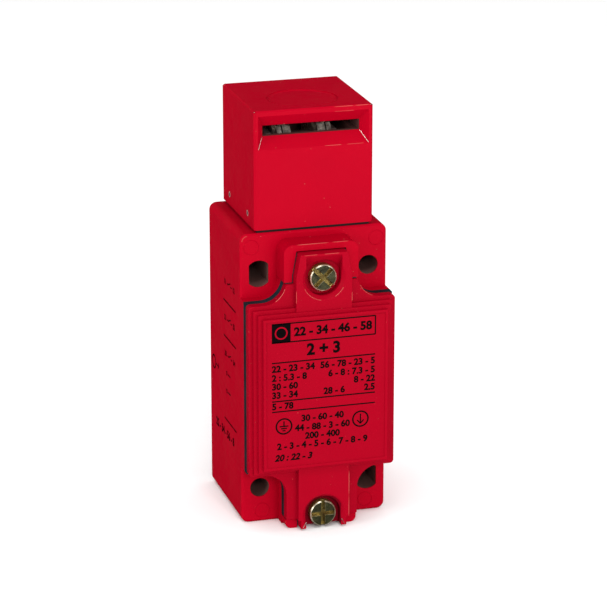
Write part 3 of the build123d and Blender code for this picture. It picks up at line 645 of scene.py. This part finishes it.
def cast_rings(material):
    """Faint raised rings that the ejector pins leave on the ears."""
    radius, half_width, height, sunk = 2.0 * MM, 0.12 * MM, 0.11 * MM, 0.01 * MM
    section = ((radius - half_width, -sunk), (radius, height), (radius + half_width, -sunk))
    ear_top = 41.0 * MM
    upper_x, upper_z = body_high[0] - 2.9 * MM, ear_top - 3.6 * MM
    lower_x, lower_z = body_high[0] - 5.5 * MM, body_low[2] + 3.2 * MM
    places = [(side * x, z) for x, z in ((upper_x, upper_z), (lower_x, lower_z)) for side in (-1, 1)]
    mesh = bmesh.new()
    for x, z in places:
        bead(mesh, lambda across, up, lift: (x + across, ear_y - lift, z + up), section, 40)
    return piece_from("cast_rings", mesh, material)


def top_bead(material):
    """Plain raised bead round the floor of the shallow recess on top of the head."""
    radius, half_width, height, sunk = 8.9 * MM, 0.22 * MM, 0.16 * MM, 0.01 * MM
    section = ((radius - half_width, -sunk), (radius, height), (radius + half_width, -sunk))
    recess_forward, recess_depth = 5.0 * MM, 0.25 * MM
    middle_y, floor = axis_y - recess_forward, head_high[2] - recess_depth
    mesh = bmesh.new()
    bead(mesh, lambda across, back, lift: (across, middle_y + back, floor + lift), section, 72)
    return piece_from("top_bead", mesh, material)


def highlight_slivers(name, material, lines, radius):
    """Slim tapered slivers along edges: bare metal where the enamel has worn through, and painted highlights.
    """
    sides = 6
    taper = ((0.0, 0.3), (0.15, 1.0), (0.85, 1.0), (1.0, 0.3))
    mesh = bmesh.new()
    for start, end in lines:
        start, end = Vector(start) * MM, Vector(end) * MM
        along = (end - start).normalized()
        side = along.orthogonal().normalized()
        up = along.cross(side)
        rows = []
        for share, size in taper:
            centre = start.lerp(end, share)
            turns = [2 * math.pi * index / sides for index in range(sides)]
            spokes = [(side * math.cos(turn) + up * math.sin(turn)) * radius * size for turn in turns]
            rows.append([mesh.verts.new(centre + spoke) for spoke in spokes])
        join_rows(mesh, rows)
    return piece_from(name, mesh, material)


def arc(x, y, z, radius, first, last, pieces=6):
    """Short lines along an arc that faces the front, between two angles in degrees."""
    points = []
    for index in range(pieces + 1):
        turn = math.radians(first + (last - first) * index / pieces)
        points.append((x + radius * math.cos(turn), y, z + radius * math.sin(turn)))
    return list(zip(points, points[1:]))


def seal_lip(material):
    """Lip of the cover's gasket, which shows in the gaps beside both tabs."""
    mesh = bmesh.new()
    for side, outline in ((side, outline) for side in (-1, 1) for outline in LIP_PATHS):
        path = [Vector((side * x, z)) * MM for x, z in outline]
        ways = [(end - start).normalized() for start, end in zip(path, path[1:])]
        rows = []
        for index, corner in enumerate(path):
            normals = [Vector((-way.y, way.x)) for way in ways[max(index - 1, 0):index + 1]]
            mitre = (normals[0] + normals[-1]).normalized()
            shift = mitre * LIP_WIDTH / 2 / mitre.dot(normals[0])
            near, far = corner - shift, corner + shift
            edges = ((near, LIP_FRONT), (far, LIP_FRONT), (far, LIP_BACK), (near, LIP_BACK))
            rows.append([mesh.verts.new((point.x, y, point.y)) for point, y in edges])
        join_rows(mesh, rows)
    return piece_from("seal_lip", mesh, material)


def entry_thread(material):
    """Ridge of the gland thread inside the cable entry."""
    radius, pitch, ridge, sunk, half_width = 9.2 * MM, 1.5 * MM, 0.28 * MM, 0.01 * MM, 0.5 * MM
    low, high = floor_z + 1.1 * MM, floor_z + 17.6 * MM
    section = ((radius - sunk, -half_width), (radius - ridge, 0.0), (radius - sunk, half_width))
    steps = 48
    mesh = bmesh.new()
    rows = []
    for index in range(int((high - low) / pitch * steps) + 1):
        turn = 2 * math.pi * index / steps
        height = low + pitch * index / steps
        across, back = math.cos(turn), math.sin(turn)
        rows.append([mesh.verts.new((r * across, axis_y + r * back, height + up)) for r, up in section])
    join_rows(mesh, rows)
    return piece_from("entry_thread", mesh, material)


def lamp(name, place, target, size, power):
    """Soft rectangular lamp that looks at a target."""
    light = bpy.data.lights.new(name, "AREA")
    light.shape = "RECTANGLE"
    light.size, light.size_y = size
    light.energy = power
    holder = bpy.data.objects.new(name, light)
    bpy.context.scene.collection.objects.link(holder)
    holder.location = place
    holder.rotation_euler = (Vector(target) - Vector(place)).to_track_quat("-Z", "Y").to_euler()


def studio():
    """Pale floor, white surroundings and soft lamps."""
    floor_mesh = bpy.data.meshes.new("floor")
    corners = [(FLOOR_HALF * x, FLOOR_HALF * y, 0) for x, y in ((-1, -1), (1, -1), (1, 1), (-1, 1))]
    floor_mesh.from_pydata(corners, [], [(0, 1, 2, 3)])
    floor = bpy.data.objects.new("floor", floor_mesh)
    floor.location = (0, 0, floor_z - FLOOR_GAP)
    bpy.context.scene.collection.objects.link(floor)
    shader = Shader("floor_paper")
    shader.set("Base Color", shader.blend(shader.noise(3.0), (0.9, 0.9, 0.9), (0.93, 0.93, 0.93)))
    shader.set("Roughness", 0.9)
    shader.set("Specular IOR Level", 0.1)
    floor.data.materials.append(shader.material)
    floor.visible_glossy = False

    world = bpy.data.worlds.new("studio")
    world.use_nodes = True
    world.node_tree.nodes["Background"].inputs["Color"].default_value = (1.0, 1.0, 1.0, 1.0)
    world.node_tree.nodes["Background"].inputs["Strength"].default_value = 1.0
    bpy.context.scene.world = world
    world.cycles_visibility.glossy = False
    bpy.context.scene.view_settings.view_transform = "Standard"

    for name, place, height, size, power in LAMPS:
        lamp(name, place, (0, axis_y, height), size, power)


def camera():
    """Camera at the photograph's viewpoint."""
    data = bpy.data.cameras.new("camera")
    data.sensor_width = CAMERA_SENSOR
    data.lens = CAMERA_LENS
    data.clip_start = CAMERA_NEAR
    holder = bpy.data.objects.new("camera", data)
    bpy.context.scene.collection.objects.link(holder)
    holder.location = CAMERA_PLACE
    holder.rotation_euler = (math.radians(90 - CAMERA_ELEVATION), 0, math.radians(CAMERA_AZIMUTH))
    bpy.context.scene.camera = holder


def dress_castings():
    """Enamel on the three castings, each with its own places painted darker as shade: bare metal in the holes
    and the slot, and the recess of the lower screw.
    """
    # Bare metal in the fixing holes is painted dark brown as shade.
    dress(enamel("body_enamel", RED, RED_SHADE, bare_and_shade_in_holes, HOLE_SHADE_BROWN), "body_casting")
    # The recess of the lower cover screw is painted darker as shade.
    dress(enamel("cover_enamel", COVER_RED, COVER_SHADE, shade_in_recess, RECESS_SHADE_RED), "front_cover")
    # Bare metal inside the head is painted dark brown as shade.
    dress(enamel("head_enamel", RED, RED_SHADE, bare_and_shade_in_slot, SLOT_SHADE_BROWN), "head_casting")


def dress_metals():
    """Plated, hardened and bare metals."""
    dress(screw_plate("screw_plate"), "cover_screws")
    dress(zinc_plate("zinc_steel"),
          "block_screws", "earth_screw", "earth_washer", "terminal_screws", "terminal_clamps")
    # The pale, half-metallic pin colour is a painted highlight, and the bore is a painted dark disc of shade.
    pins = metal("pin_steel", (0.92, 0.90, 0.84), (0.40, 0.37, 0.33), 0.3, 300.0, pin_bore_shade, 0.6)
    dress(pins, "head_pins", "cam_axle")
    # The carrier's steel is painted a dark reddish brown as shade inside the head.
    carrier = metal("carrier_steel_shaded", (0.36, 0.24, 0.23), (0.18, 0.11, 0.10), 0.4, 300.0, metallic=0.6)
    dress(carrier, "cam_carrier")
    # Bright blotches on the wheels are painted glints, and their groove is painted dark as shade.
    wheels = metal("wheel_steel_glints", (0.95, 0.84, 0.72), (0.16, 0.11, 0.09), 0.25, 520.0, wheel_groove_shade, 0.6)
    dress(wheels, "cam_wheels")
    dress(metal("plunger_steel", (0.55, 0.55, 0.56), (0.4, 0.4, 0.42), 0.2, 200.0), "plunger")
    dress(metal("spring_steel", (0.45, 0.45, 0.47), (0.3, 0.3, 0.32), 0.3, 200.0),
          "plunger_spring", "return_spring", "contact_springs")
    dress(metal("brass", (0.70, 0.48, 0.18), (0.5, 0.33, 0.11), 0.3, 200.0),
          "plunger_bush", "fixed_contacts", "contact_bridges")


def dress_mouldings():
    """Rubber seals and plastic mouldings."""
    dress(plastic("seal_rubber", (0.005, 0.028, 0.038), (0.003, 0.011, 0.016), 0.6),
          "cover_gasket", "plunger_seal")
    dress(plastic("head_rubber", (0.018, 0.007, 0.009), (0.008, 0.004, 0.005), 0.6), "head_gasket")
    dress(plastic("cam_plastic", (0.13, 0.06, 0.055), (0.07, 0.035, 0.03), 0.4), "lift_cam")
    dress(plastic("slider_plastic", (0.75, 0.72, 0.63), (0.66, 0.63, 0.55), 0.4), "contact_carriage")
    dress(plastic("block_plastic", (0.03, 0.03, 0.033), (0.02, 0.02, 0.022), 0.45), "contact_block")
    dress(plastic("lid_plastic", (0.32, 0.33, 0.35), (0.26, 0.27, 0.29), 0.4), "contact_lid")


def add_trim():
    """Print, thread, cast marks, gasket lip, and slivers on edges: worn metal and painted highlights."""
    ink = plastic("print_ink", (0.002, 0.0015, 0.002), (0.003, 0.001, 0.0015), 0.6, 0.04)
    label_print(ink)
    side_print(ink)
    entry_thread(paint_of("body_casting"))
    cast_rings(paint_of("body_casting"))
    top_bead(paint_of("head_casting"))
    seal_lip(paint_of("cover_gasket"))
    bare_and_highlight_metal = metal("bare_and_highlight_metal", (0.95, 0.92, 0.86), (0.8, 0.74, 0.66), 0.35, 500.0)
    # Bright metal slivers along edges, part worn metal and part painted highlight
    highlight_slivers("bare_and_highlight_edges", bare_and_highlight_metal, BARE_AND_HIGHLIGHT_LINES, 0.1 * MM)
    # Pale pink lines and arcs painted as edge highlights
    highlight_enamel = plastic("highlight_enamel", (0.52, 0.12, 0.10), (0.42, 0.03, 0.03), 0.4)
    highlight_pieces = list(PAINTED_HIGHLIGHT_LINES)
    for place in PAINTED_HIGHLIGHT_ARCS:
        highlight_pieces += arc(*place)
    highlight_slivers("highlight_slivers", highlight_enamel, highlight_pieces, 0.07 * MM)


dress_castings()
dress_metals()
dress_mouldings()
for name, width in ROUNDED:
    soften(name, width)
add_trim()
studio()
camera()
